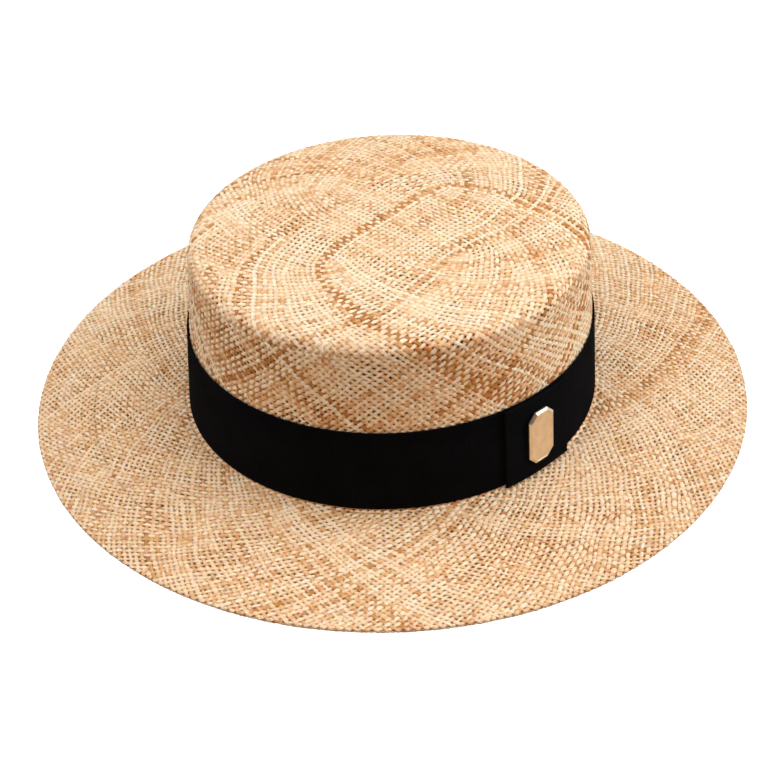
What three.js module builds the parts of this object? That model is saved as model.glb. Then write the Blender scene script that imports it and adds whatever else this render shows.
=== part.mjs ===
// Straw boater hat: one-piece woven body, ribbon round the crown, flat ribbon tab and plain metal plate.
// Millimetres, +Z up, front of the hat towards -Y, wearer's left towards +X, origin on the resting surface.

import * as THREE from 'three';

// Head oval, measured outside the ribbon at its lower edge
const OVAL_LENGTH = 195;
const OVAL_WIDTH = 189;
const MEAN_RADIUS = (OVAL_LENGTH + OVAL_WIDTH) / 4;
const OVAL_SWING = (OVAL_LENGTH - OVAL_WIDTH) / 4;

// Straw body
const STRAW_WALL = 1.2;
const BRIM_WIDTH = 71;
const BRIM_FOOT_Z = 4.0;
const HEM_WIDTH = 9;
const HEM_THICK = 2.0;
const HEM_STEP = 0.6;
const BREAK_RADIUS = 1.2;
const CROWN_HEIGHT = 83.5;
const CROWN_LEAN = 4.5;
const TIP_RADIUS = 6;
const TIP_DOME = 4;

// Ribbon, its tab and the plate
const FIT_GAP = 0.3;
const RIBBON_THICK = 0.7;
const RIBBON_HEIGHT = 40;
const RIBBON_LIFT = 0.8;
const KEEPER_WIDTH = 39;
const KEEPER_HEIGHT = 40.4;
const KEEPER_THICK = 1.4;
const KEEPER_BOW_RADIUS = 140;
const KEEPER_TURN = THREE.MathUtils.degToRad(-2.9);
const KEEPER_DROP = 0.4;
const PLATE_WIDTH = 15;
const PLATE_HEIGHT = 27;
const PLATE_CORNER = 4;
const PLATE_THICK = 1.6;
const PLATE_BEVEL = 0.5;
const PLATE_BEVEL_WIDTH = 1.1;

// Colours
const STRAW_COLOUR = 0xd9b483;
const RIBBON_COLOUR = 0x101013;
const PLATE_COLOUR = 0xcdb796;

// Facets
const TURN_STEPS = 96;
const ARC_STEPS = 5;
const TIP_STEPS = 5;
const BRIM_STEPS = 4;
const WALL_STEPS = 3;
const KEEPER_STEPS = 8;

// Sizes that follow
const LEAN_SLOPE = CROWN_LEAN / CROWN_HEIGHT;
const LEAN_ANGLE = Math.atan(LEAN_SLOPE);
const WALL_FOOT_RADIUS = MEAN_RADIUS - RIBBON_THICK - FIT_GAP;
const BRIM_RADIUS = MEAN_RADIUS + BRIM_WIDTH;
const TIP_Z = BRIM_FOOT_Z + CROWN_HEIGHT;
const RIBBON_FOOT_Z = BRIM_FOOT_Z + RIBBON_LIFT;
const KEEPER_FOOT_Z = RIBBON_FOOT_Z - KEEPER_DROP;

// Outer radius of the crown's wall at height z
function wallRadius(z) {
  return WALL_FOOT_RADIUS - LEAN_SLOPE * (z - BRIM_FOOT_Z);
}

// Height of the brim's upper face at a radius: it falls evenly from the crown to the edge
function brimHeight(radius) {
  const along = (radius - WALL_FOOT_RADIUS) / (BRIM_RADIUS - WALL_FOOT_RADIUS);
  return THREE.MathUtils.lerp(BRIM_FOOT_Z, HEM_THICK, along);
}

// Points from one value to another, both ends included
function steps(from, to, count) {
  return Array.from({ length: count + 1 }, (_, i) => from + ((to - from) * i) / count);
}

// Points of an arc in the profile plane (x is the radius, y the height)
function arc(centreRadius, centreZ, radius, fromAngle, toAngle) {
  return steps(fromAngle, toAngle, ARC_STEPS).map(
    (angle) => new THREE.Vector2(centreRadius + radius * Math.cos(angle), centreZ + radius * Math.sin(angle)),
  );
}

// Slightly domed tip from its centre to its corner, for the outer face or the inner one
function tipFace(cornerRadius, edgeZ) {
  return steps(0, 1, TIP_STEPS).map(
    (along) => new THREE.Vector2(along * cornerRadius, edgeZ + TIP_DOME * (1 - along * along)),
  );
}

// Turn a profile about +Z, then stretch it to the head's oval: the brim keeps its width, the tip scales
function turnedToOval(profile) {
  const geometry = new THREE.LatheGeometry(profile, TURN_STEPS);
  geometry.rotateX(Math.PI / 2);
  const position = geometry.attributes.position;
  const point = new THREE.Vector3();
  for (let i = 0; i < position.count; i += 1) {
    point.fromBufferAttribute(position, i);
    const radius = Math.hypot(point.x, point.y);
    const share = Math.min(1, radius / MEAN_RADIUS);
    const swing = radius > 0 ? (OVAL_SWING * share) / radius : 0;
    position.setXY(i, point.x * (1 - swing), point.y * (1 + swing));
  }
  geometry.computeVertexNormals();
  return geometry;
}

// Woven body: from the middle of the tip's inner face, down the inside, round the hem and back up the outside
function strawBodyGeometry() {
  const innerFoot = BRIM_FOOT_Z - STRAW_WALL;
  const cornerRadius = wallRadius(TIP_Z) - TIP_RADIUS;
  const cornerZ = TIP_Z - TIP_RADIUS;
  const innerTipRadius = TIP_RADIUS - STRAW_WALL;
  const hemInner = BRIM_RADIUS - HEM_WIDTH;
  const hemRound = HEM_THICK / 2;
  const breakCentre = WALL_FOOT_RADIUS + BREAK_RADIUS;
  const brimTopStart = BRIM_FOOT_Z + BREAK_RADIUS;

  const inside = [
    ...tipFace(cornerRadius, TIP_Z - STRAW_WALL),
    ...arc(cornerRadius, cornerZ, innerTipRadius, Math.PI / 2, LEAN_ANGLE).slice(1),
    ...steps(cornerZ, innerFoot + BREAK_RADIUS, WALL_STEPS)
      .slice(1)
      .map((z) => new THREE.Vector2(wallRadius(z) - STRAW_WALL, z)),
  ];
  const underside = steps(WALL_FOOT_RADIUS + BREAK_RADIUS, hemInner - HEM_STEP, BRIM_STEPS).map(
    (radius) => new THREE.Vector2(radius, brimHeight(radius) - STRAW_WALL),
  );
  const hem = [
    new THREE.Vector2(hemInner, 0),
    ...arc(BRIM_RADIUS - hemRound, hemRound, hemRound, -Math.PI / 2, Math.PI / 2),
  ];
  const topside = steps(hemInner, breakCentre, BRIM_STEPS).map(
    (radius) => new THREE.Vector2(radius, brimHeight(radius)),
  );
  const outside = [
    ...arc(breakCentre, brimTopStart, BREAK_RADIUS, (3 * Math.PI) / 2, Math.PI).slice(1),
    ...steps(brimTopStart, cornerZ, WALL_STEPS)
      .slice(1, -1)
      .map((z) => new THREE.Vector2(wallRadius(z), z)),
    ...arc(cornerRadius, cornerZ, TIP_RADIUS, LEAN_ANGLE, Math.PI / 2),
    ...tipFace(cornerRadius, TIP_Z).reverse().slice(1),
  ];
  return turnedToOval([...inside, ...underside, ...hem, ...topside, ...outside]);
}

// Ribbon: a thin upright loop that leans with the crown's wall
function ribbonBandGeometry() {
  const top = RIBBON_FOOT_Z + RIBBON_HEIGHT;
  const inner = (z) => wallRadius(z) + FIT_GAP;
  const outer = (z) => inner(z) + RIBBON_THICK;
  const profile = [
    new THREE.Vector2(inner(RIBBON_FOOT_Z), RIBBON_FOOT_Z),
    new THREE.Vector2(outer(RIBBON_FOOT_Z), RIBBON_FOOT_Z),
    new THREE.Vector2(outer(top), top),
    new THREE.Vector2(inner(top), top),
  ];
  return turnedToOval([...profile, profile[0].clone()]);
}

// Folded tab: a strip bowed less than the crown, so that its two folded edges stand off the ribbon
function ribbonKeeperGeometry() {
  const outerRadius = KEEPER_BOW_RADIUS + KEEPER_THICK;
  const middleRadius = KEEPER_BOW_RADIUS + KEEPER_THICK / 2;
  const fold = KEEPER_THICK / 2;
  const reach = (KEEPER_WIDTH / 2 - fold) / middleRadius;
  const foldAt = (angle) => [
    middleRadius * Math.cos(angle) - KEEPER_BOW_RADIUS,
    middleRadius * Math.sin(angle),
  ];
  const section = new THREE.Shape();
  section.absarc(-KEEPER_BOW_RADIUS, 0, outerRadius, -reach, reach, false);
  section.absarc(...foldAt(reach), fold, reach, reach + Math.PI, false);
  section.absarc(-KEEPER_BOW_RADIUS, 0, KEEPER_BOW_RADIUS, reach, -reach, true);
  section.absarc(...foldAt(-reach), fold, Math.PI - reach, 2 * Math.PI - reach, false);
  return new THREE.ExtrudeGeometry(section, {
    depth: KEEPER_HEIGHT,
    bevelEnabled: false,
    curveSegments: KEEPER_STEPS,
  });
}

// Plain upright plate with clipped corners and bevelled edges
function pinPlateGeometry() {
  const halfWidth = PLATE_WIDTH / 2;
  const halfHeight = PLATE_HEIGHT / 2;
  const outline = new THREE.Shape();
  outline.moveTo(-halfWidth + PLATE_CORNER, -halfHeight);
  outline.lineTo(halfWidth - PLATE_CORNER, -halfHeight);
  outline.lineTo(halfWidth, -halfHeight + PLATE_CORNER);
  outline.lineTo(halfWidth, halfHeight - PLATE_CORNER);
  outline.lineTo(halfWidth - PLATE_CORNER, halfHeight);
  outline.lineTo(-halfWidth + PLATE_CORNER, halfHeight);
  outline.lineTo(-halfWidth, halfHeight - PLATE_CORNER);
  outline.lineTo(-halfWidth, -halfHeight + PLATE_CORNER);
  outline.closePath();
  return new THREE.ExtrudeGeometry(outline, {
    depth: PLATE_THICK - 2 * PLATE_BEVEL,
    bevelEnabled: true,
    bevelThickness: PLATE_BEVEL,
    bevelSize: PLATE_BEVEL_WIDTH,
    bevelOffset: -PLATE_BEVEL_WIDTH,
    bevelSegments: 1,
  });
}

// A named mesh with a material of its own
function piece(name, geometry, colour, roughness, metalness) {
  const material = new THREE.MeshStandardMaterial({ color: colour, roughness, metalness });
  const mesh = new THREE.Mesh(geometry, material);
  mesh.name = name;
  return mesh;
}

// The tab and its plate stand in a frame on the ribbon's face: x outwards, y along the ribbon, z up the wall
function keeperFrame() {
  const frame = new THREE.Group();
  const faceRadius = wallRadius(KEEPER_FOOT_Z) + FIT_GAP + RIBBON_THICK;
  const x = (faceRadius - OVAL_SWING) * Math.cos(KEEPER_TURN);
  const y = (faceRadius + OVAL_SWING) * Math.sin(KEEPER_TURN);
  frame.position.set(x, y, KEEPER_FOOT_Z);
  frame.rotation.order = 'ZYX';
  frame.rotation.set(0, -LEAN_ANGLE, KEEPER_TURN);

  const keeper = piece('ribbon_keeper', ribbonKeeperGeometry(), RIBBON_COLOUR, 0.8, 0);
  keeper.position.x = FIT_GAP;

  const plate = piece('pin_plate', pinPlateGeometry(), PLATE_COLOUR, 0.25, 1);
  plate.position.set(2 * FIT_GAP + KEEPER_THICK + PLATE_BEVEL, 0, KEEPER_HEIGHT / 2);
  plate.quaternion.setFromRotationMatrix(
    new THREE.Matrix4().makeBasis(
      new THREE.Vector3(0, 1, 0),
      new THREE.Vector3(0, 0, 1),
      new THREE.Vector3(1, 0, 0),
    ),
  );
  frame.add(keeper, plate);
  return frame;
}

const hat = new THREE.Group();
hat.add(
  piece('straw_body', strawBodyGeometry(), STRAW_COLOUR, 0.75, 0),
  piece('ribbon_band', ribbonBandGeometry(), RIBBON_COLOUR, 0.8, 0),
  keeperFrame(),
);

export default hat;
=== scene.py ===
"""Straw boater hat: woven strands, ribbon, ribbon tab and metal plate, on a plain pale stage."""

import math

import bpy
import numpy as np
from bpy.props import FloatProperty, FloatVectorProperty, IntProperty, PointerProperty
from bpy.types import Operator, Panel, PropertyGroup
from mathutils import Matrix, Vector


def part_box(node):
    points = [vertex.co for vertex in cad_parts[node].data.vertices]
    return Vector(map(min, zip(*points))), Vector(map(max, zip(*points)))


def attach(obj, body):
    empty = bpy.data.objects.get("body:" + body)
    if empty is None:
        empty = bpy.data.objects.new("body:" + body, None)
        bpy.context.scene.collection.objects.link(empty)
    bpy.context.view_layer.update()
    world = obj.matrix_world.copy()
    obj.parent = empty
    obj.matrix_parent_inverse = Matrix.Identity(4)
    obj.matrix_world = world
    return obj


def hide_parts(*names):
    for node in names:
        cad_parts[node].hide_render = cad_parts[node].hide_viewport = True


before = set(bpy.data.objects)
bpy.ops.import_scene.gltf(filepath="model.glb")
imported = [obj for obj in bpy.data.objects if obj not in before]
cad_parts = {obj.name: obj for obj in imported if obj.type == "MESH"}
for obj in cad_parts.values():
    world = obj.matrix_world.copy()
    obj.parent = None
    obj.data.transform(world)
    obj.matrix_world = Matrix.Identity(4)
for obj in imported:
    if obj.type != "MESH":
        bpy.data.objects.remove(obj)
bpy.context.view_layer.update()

bl_info = {
    "name": "Straw boater hat",
    "version": (1, 0, 0),
    "blender": (4, 5, 0),
    "location": "3D View > Sidebar > Hat",
    "description": "Weaves a straw hat strand by strand and adds its ribbon, tab, plate and stage",
    "category": "Object",
}

MM = 0.001
FULL_TURN = 2 * math.pi

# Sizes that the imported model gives
BODY_LOW, BODY_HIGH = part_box("straw_body")
HALF_WIDTH = (BODY_HIGH.x - BODY_LOW.x) / 2
HALF_LENGTH = (BODY_HIGH.y - BODY_LOW.y) / 2
RIBBON_LOW, RIBBON_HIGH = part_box("ribbon_band")


# Settings

def length_setting(label, note, size):
    """Length in metres"""
    return FloatProperty(name=label, description=note, default=size, unit="LENGTH", precision=5)


def angle_setting(label, note, degrees):
    """Angle, given in degrees"""
    return FloatProperty(name=label, description=note, default=math.radians(degrees), subtype="ANGLE")


def share_setting(label, note, part, low=0.0, high=1.0):
    """Share or ratio between two limits"""
    return FloatProperty(name=label, description=note, default=part, subtype="FACTOR", min=low, max=high)


def colour_setting(label, note, red, green, blue):
    """Opaque colour"""
    return FloatVectorProperty(
        name=label, description=note, default=(red, green, blue, 1.0),
        subtype="COLOR", size=4, min=0.0, max=1.0)


def power_setting(label, note, watts):
    """Power of a light"""
    return FloatProperty(name=label, description=note, default=watts, unit="POWER", min=0.0)


class BodySizes(PropertyGroup):
    """Shape of the straw body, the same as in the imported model"""

    brim_radius: length_setting(
        "Brim radius", "Mean radius of the brim's edge", (HALF_LENGTH + HALF_WIDTH) / 2)
    oval_swing: length_setting(
        "Oval swing", "How far the oval's ends stand out past the mean radius",
        (HALF_LENGTH - HALF_WIDTH) / 2)
    head_radius: length_setting(
        "Head radius", "Mean radius outside the ribbon, where the oval is at full swing", 96 * MM)
    wall_foot_radius: length_setting(
        "Wall foot radius", "Mean radius of the crown's wall where it meets the brim", 95 * MM)
    brim_foot_height: length_setting(
        "Brim foot height", "Height of the brim's upper face at the crown", 4 * MM)
    crown_height: length_setting(
        "Crown height", "Height of the crown's wall above the brim", 83.5 * MM)
    crown_lean: length_setting(
        "Crown lean", "How far the wall leans in from its foot to the tip", 4.5 * MM)
    tip_radius: length_setting("Tip radius", "Rounding between the wall and the tip", 6 * MM)
    tip_dome: length_setting("Tip dome", "Rise of the tip's middle above its edge", 4 * MM)
    break_radius: length_setting("Break radius", "Rounding between the wall and the brim", 1.2 * MM)
    edge_thickness: length_setting(
        "Edge thickness", "Thickness of the brim's edge with its hem turned under", 2 * MM)
    hem_width: length_setting("Hem width", "Width of the hem turned under the brim", 9 * MM)


class StrandSizes(PropertyGroup):
    """Size and looseness of the straw strands"""

    pitch: length_setting("Pitch", "Distance between two neighbouring strands", 2.38 * MM)
    lay: share_setting(
        "Lay", "How much wider than high a cell of the weave is, round the hat", 1.1, 0.8, 1.3)
    width_share: share_setting("Width share", "Strand width as a share of the pitch", 0.79, 0.5, 1.0)
    width_spread: share_setting("Width spread", "How much strands differ in width", 0.15, 0.0, 0.3)
    thickness: length_setting("Thickness", "Thickness of a strand", 0.5 * MM)
    wave: length_setting("Wave", "How far a strand rises and dips as it passes over and under", 0.24 * MM)
    pinch: share_setting(
        "Pinch", "How much narrower a strand gets where it dips under another", 0.05, 0.0, 0.5)
    inset: length_setting("Inset", "Depth of the weave's middle below the body's outer face", 0.45 * MM)
    press: share_setting(
        "Press", "Share of the strands' relief left where the hem is pressed flat", 0.66, 0.3, 1.0)
    press_width: length_setting(
        "Press width", "Width of the brim over which the pressing fades", 14 * MM)
    jitter: length_setting("Jitter", "Random offset of a crossing", 0.16 * MM)
    drift: length_setting("Drift", "Slow sideways wander of the strands", 1.1 * MM)
    drift_length: length_setting("Drift length", "Length over which the wander repeats", 38 * MM)
    patch_rings: IntProperty(
        name="Patch rings", description="Rings of the square patch in the middle of the tip",
        default=18, min=2, max=30)
    patch_turn: angle_setting(
        "Patch turn", "Direction of the square patch's strands, from the wearer's left", 2)
    seed: IntProperty(
        name="Seed", description="Start of the random numbers for the weave", default=7, min=0)


class StrawColours(PropertyGroup):
    """Colours of the straw, from pale to brown"""

    pale: colour_setting("Pale", "Palest strands", 0.975, 0.815, 0.59)
    straw: colour_setting("Straw", "Most strands", 0.95, 0.695, 0.45)
    tan: colour_setting("Tan", "Darker strands", 0.79, 0.45, 0.215)
    brown: colour_setting("Brown", "Brown stretches", 0.52, 0.22, 0.065)
    # Gap is a painted shade: the straw darkened where light falls less, in the gaps between crossings and at
    # the strand edges
    gap: colour_setting("Gap", "Shaded straw in the small gaps between crossings", 0.26, 0.1, 0.022)


class RibbonSizes(PropertyGroup):
    """Ribbon round the crown and its tab"""

    height: length_setting(
        "Height", "Width of the ribbon, standing upright on the wall", RIBBON_HIGH.z - RIBBON_LOW.z)
    foot_height: length_setting("Foot height", "Height of the ribbon's lower edge", RIBBON_LOW.z)
    thickness: length_setting("Thickness", "Thickness of the ribbon", 0.7 * MM)
    gap: length_setting("Gap", "Clearance between the ribbon and what it lies on", 0.3 * MM)
    rib_pitch: length_setting("Rib pitch", "Distance between the ribbon's upright ribs", 0.7 * MM)
    rib_depth: length_setting("Rib depth", "Height of a rib above the groove beside it", 0.12 * MM)
    tab_width: length_setting("Tab width", "Width of the folded tab, along the ribbon", 39 * MM)
    tab_height: length_setting("Tab height", "Height of the folded tab", 40.4 * MM)
    tab_thickness: length_setting("Tab thickness", "Thickness of the tab over its two layers", 1.4 * MM)
    tab_bow_radius: length_setting("Tab bow radius", "Radius of the tab's bow along the ribbon", 140 * MM)
    tab_turn: angle_setting(
        "Tab turn", "Place of the tab round the crown, from the wearer's left", -2.9)
    tab_drop: length_setting(
        "Tab drop", "How far the tab reaches below the ribbon's lower edge", 0.4 * MM)
    colour: colour_setting("Colour", "Colour of the ribbon's threads", 0.0024, 0.0029, 0.0039)


class PlateSizes(PropertyGroup):
    """Plain metal plate on the tab"""

    width: length_setting("Width", "Width of the plate", 15 * MM)
    height: length_setting("Height", "Height of the plate", 27 * MM)
    corner: length_setting("Corner", "Length cut off each corner along a side", 4 * MM)
    thickness: length_setting("Thickness", "Thickness of the plate with its bevels", 1.6 * MM)
    bevel: length_setting("Bevel", "Width of the bevel round the face", 1.1 * MM)
    colour: colour_setting("Colour", "Colour of the metal", 0.92, 0.8, 0.62)


class StageSettings(PropertyGroup):
    """Camera, lights and floor"""

    camera_azimuth: angle_setting(
        "Camera azimuth", "Direction of the camera from the front of the hat", 45)
    camera_elevation: angle_setting("Camera elevation", "Angle of the camera above the floor", 34.66)
    camera_distance: length_setting(
        "Camera distance", "Distance of the camera from the point that it circles", 845.15 * MM)
    camera_height: length_setting(
        "Camera target height", "Height of the point that the camera circles", 41 * MM)
    camera_pan: angle_setting("Camera pan", "Turn of the camera about its own upright axis", 0.09)
    camera_tilt: angle_setting("Camera tilt", "Turn of the camera about its own level axis", -2.37)
    camera_roll: angle_setting("Camera roll", "Turn of the camera about its line of sight", -1.3)
    focal_length: FloatProperty(
        name="Focal length", description="Lens length on a 36 mm wide sensor",
        default=84.25, min=1.0, unit="CAMERA")
    floor_size: length_setting("Floor size", "Side of the square floor", 12.0)
    floor_colour: colour_setting("Floor colour", "Colour of the floor", 0.93, 0.93, 0.93)
    floor_bounce: share_setting(
        "Floor bounce", "Share of its light that the floor throws back onto the hat", 0.15)
    # Below the hat the floor is painted in a warm shade, which shows through the weave's gaps
    shade_colour: colour_setting(
        "Shade colour", "Colour of the floor below the hat, in the straw's warm shade", 0.56, 0.26, 0.09)
    floor_glow: share_setting(
        "Floor glow", "Light of the floor's own in the picture, which keeps it evenly pale", 1.1, 0.0, 2.0)
    sky_strength: share_setting("Sky strength", "Brightness of the even light from all round", 0.04)
    top_power: power_setting("Top light power", "Power of the soft light overhead", 8.7)
    left_power: power_setting("Left light power", "Power of the soft light on the camera's left", 9.0)
    right_power: power_setting("Right light power", "Power of the soft light on the camera's right", 16.5)
    front_power: power_setting(
        "Front light power", "Power of the low soft light in front of the hat", 7.0)
    front_colour: colour_setting(
        "Front light colour", "Colour of the low soft light in front of the hat", 1.0, 0.6, 0.3)


# Meshes

def mesh_piece(name, points, faces, smooth, material):
    """New object from points and a list of faces given as arrays of equal-sided faces"""
    corners = np.concatenate([group.ravel() for group in faces]).astype(np.int32)
    sides = np.concatenate([np.full(len(group), group.shape[1]) for group in faces])
    mesh = bpy.data.meshes.new(name)
    mesh.vertices.add(len(points))
    mesh.vertices.foreach_set("co", np.ascontiguousarray(points, dtype=np.float32).ravel())
    mesh.loops.add(len(corners))
    mesh.loops.foreach_set("vertex_index", corners)
    mesh.polygons.add(len(sides))
    starts = np.concatenate(([0], np.cumsum(sides)[:-1])).astype(np.int32)
    mesh.polygons.foreach_set("loop_start", starts)
    mesh.polygons.foreach_set("use_smooth", np.repeat(smooth, [len(group) for group in faces]))
    mesh.update(calc_edges=True)
    if mesh.validate():
        raise RuntimeError(f"{name}: the mesh has faults")
    mesh.materials.append(material)
    piece = bpy.data.objects.new(name, mesh)
    bpy.context.scene.collection.objects.link(piece)
    return piece


def add_numbers(piece, name, values):
    """Store one number or one vector for each point of a piece"""
    values = np.ascontiguousarray(values, dtype=np.float32)
    kind, field = ("FLOAT", "value") if values.ndim == 1 else ("FLOAT_VECTOR", "vector")
    layer = piece.data.attributes.new(name, kind, "POINT")
    layer.data.foreach_set(field, values.ravel())


def stand_for(piece, node):
    """Fix a piece to the part's one body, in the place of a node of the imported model"""
    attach(piece, "root")
    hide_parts(node)


def unit(vectors):
    """Vectors scaled to length one"""
    return vectors / np.linalg.norm(vectors, axis=-1, keepdims=True)


def half_turn_range(turn):
    """Angles brought to within half a turn of zero"""
    return np.remainder(turn + math.pi, FULL_TURN) - math.pi


# Straw body

# Points along an arc, along the tip and along the whole profile
ARC_POINTS = 24
TIP_POINTS = 200
PROFILE_POINTS = 2400

# Corners of a strand's flat section: share of its half width, share of its half thickness
STRAND_SECTION = ((-1.0, 0.0), (-0.66, 1.0), (0.66, 1.0), (1.0, 0.0), (0.66, -1.0), (-0.66, -1.0))

# The two families cross at about right angles, so crossings in a ring are a cell's diagonal apart
DIAGONAL = math.sqrt(2)

# New strands are laid in one golden turn apart, so that they spread evenly round the hat
GOLDEN_TURN = math.pi * (3 - math.sqrt(5))

# Share by which each ring after the square patch gets rounder than the one before
ROUNDING = 0.06

# How often a new ring and the whole weave are evened out, and how far each time in the whole weave
RELAX_RING = 6
RELAX_ALL = 40
RELAX_SHARE = 0.8

# Neighbours of a crossing along its two strands
NEIGHBOURS = 4

# Slow wander: waves that are summed, their stretch, its share towards the hem and where on the brim that ends
WANDER_WAVES = 7
WANDER_STRETCH = (0.6, 1.8)
WANDER_ALONG = 0.5
WANDER_END = 0.9

# Narrowest and widest strand, and strand width on the tip against that on the wall and the brim
WIDTH_LIMITS = (0.7, 1.3)
TIP_WIDTH = 1.09

# Where the tip's values pass into the wall's, as shares of the way from the tip's middle to the wall
TIP_FADE = (0.9, 1.1)

# Tone of the strands from pale to brown: middle, each strand's own part, bunches as neighbours and swing
TONE_MIDDLE = 0.46
TONE_OWN = 0.06
TONE_BUNCHES = ((6, 0.08), (28, 0.03))

# Single strands that stand out: their share, how far, more often paler than browner, and the limit of all
STREAK_SHARE = 0.1
TONE_STREAK = 0.3
STREAK_SIDES = (-1, -1, 1)
TONE_MOST = 0.3

# How strongly bunches and single strands differ on the tip, on the wall and on the brim, and the painted
# shade there that makes one family of strands lighter and the other darker, for light that catches the two
# directions differently
BUNCH_SPREAD = (1.15, 2.2, 0.75)
OWN_SPREAD = (1.15, 3.4, 0.75)
FAMILY_PAINTED_SHADE = (0.06, 0.15, 0.07)

# How much darker the straw gets from the tip to the brim
BRIM_TONE = 0.05

# Brown strands that arc across the tip: direction in degrees and distance in mm of a place on each bunch,
# and its number of strands
BROWN_ARCS = ((89, 50, 2), (77, 79, 4), (165, 61, 3), (260, 75, 3))
ARC_TONE = 0.23

# Neighbours whose tone changes together along their run, and how far each departs from them
SEED_BUNCH = 5
SEED_OWN = 0.004

# A strand gets further sections where the body bends by more than this, up to a limit for each crossing
FOLD_STEP = math.radians(40)
FOLD_MOST = 4

# The brim is cut into pieces at this share of its width, the wall at this height above the brim
BRIM_SPLIT = 0.6
RIBBON_SPLIT = 38 * MM


def arc(centre, radius, start, end):
    """Points of an arc in the plane of radius and height"""
    turn = np.linspace(start, end, ARC_POINTS)
    return np.column_stack((centre[0] + radius * np.cos(turn), centre[1] + radius * np.sin(turn)))


class BodyProfile:
    """Middle surface of the straw body, by distance from the middle of the tip"""

    def __init__(self, body, inset):
        self.body = body
        lean = math.atan(body.crown_lean / body.crown_height)
        tip_height = body.brim_foot_height + body.crown_height
        corner_radius = body.wall_foot_radius - body.crown_lean - body.tip_radius
        edge_round = body.edge_thickness / 2
        out = np.linspace(0, 1, TIP_POINTS)
        tip = np.column_stack((out * corner_radius, tip_height + body.tip_dome * (1 - out**2) - inset))
        corner_centre = (corner_radius, tip_height - body.tip_radius)
        corner = arc(corner_centre, body.tip_radius - inset, math.pi / 2, lean)
        break_radius = body.break_radius
        break_centre = (body.wall_foot_radius + break_radius, body.brim_foot_height + break_radius)
        foot = arc(break_centre, break_radius + inset, math.pi + lean, 1.5 * math.pi)
        edge_centre = (body.brim_radius - edge_round, edge_round)
        edge = arc(edge_centre, edge_round - inset, math.pi / 2, -math.pi / 2)
        hem_end = np.array([[body.brim_radius - body.hem_width, inset]])
        points = np.concatenate((tip, corner[1:], foot, edge, hem_end))
        steps = np.linalg.norm(np.diff(points, axis=0), axis=1)
        along = np.concatenate(([0], np.cumsum(steps)))
        self.total = along[-1]
        self.along = np.linspace(0, self.total, PROFILE_POINTS)
        self.radius = np.interp(self.along, along, points[:, 0])
        self.height = np.interp(self.along, along, points[:, 1])
        self.slope = unit(np.column_stack((np.gradient(self.radius), np.gradient(self.height))))
        turns = np.arccos(np.clip((self.slope[1:] * self.slope[:-1]).sum(1), -1, 1))
        self.bend = np.concatenate(([0], np.cumsum(turns)))
        corner_end = len(tip) + len(corner) - 2
        self.wall_start = along[corner_end]
        self.brim_start = along[corner_end + len(foot)]
        self.edge_start = along[corner_end + len(foot) + 1]
        self.brim_width = body.brim_radius - body.wall_foot_radius

    def radius_at(self, along):
        """Radius at a distance from the middle of the tip"""
        return np.interp(along, self.along, self.radius)

    def bend_at(self, along):
        """Total turn of the profile up to a distance from the middle of the tip"""
        return np.interp(along, self.along, self.bend)

    def place(self, along, turn):
        """Points and outward directions on the oval body"""
        radius = self.radius_at(along)
        height = np.interp(along, self.along, self.height)
        slope_radius = np.interp(along, self.along, self.slope[:, 0])
        slope_height = np.interp(along, self.along, self.slope[:, 1])
        cosine = np.cos(turn)
        sine = np.sin(turn)
        swing = self.body.oval_swing * np.minimum(1 / self.body.head_radius, 1 / np.maximum(radius, MM))
        points = np.column_stack((radius * cosine * (1 - swing), radius * sine * (1 + swing), height))
        outward = unit(np.column_stack((-slope_height * cosine, -slope_height * sine, slope_radius)))
        return points, outward


class Ring:
    """One ring of crossings, each with the strand that runs right and the one that runs left"""

    def __init__(self, along, turn, right, left, starts):
        self.along = np.asarray(along, dtype=float)
        self.turn = np.asarray(turn, dtype=float)
        self.right = np.asarray(right, dtype=int)
        self.left = np.asarray(left, dtype=int)
        self.starts = np.asarray(starts, dtype=bool)

    def __len__(self):
        return len(self.turn)


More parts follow.
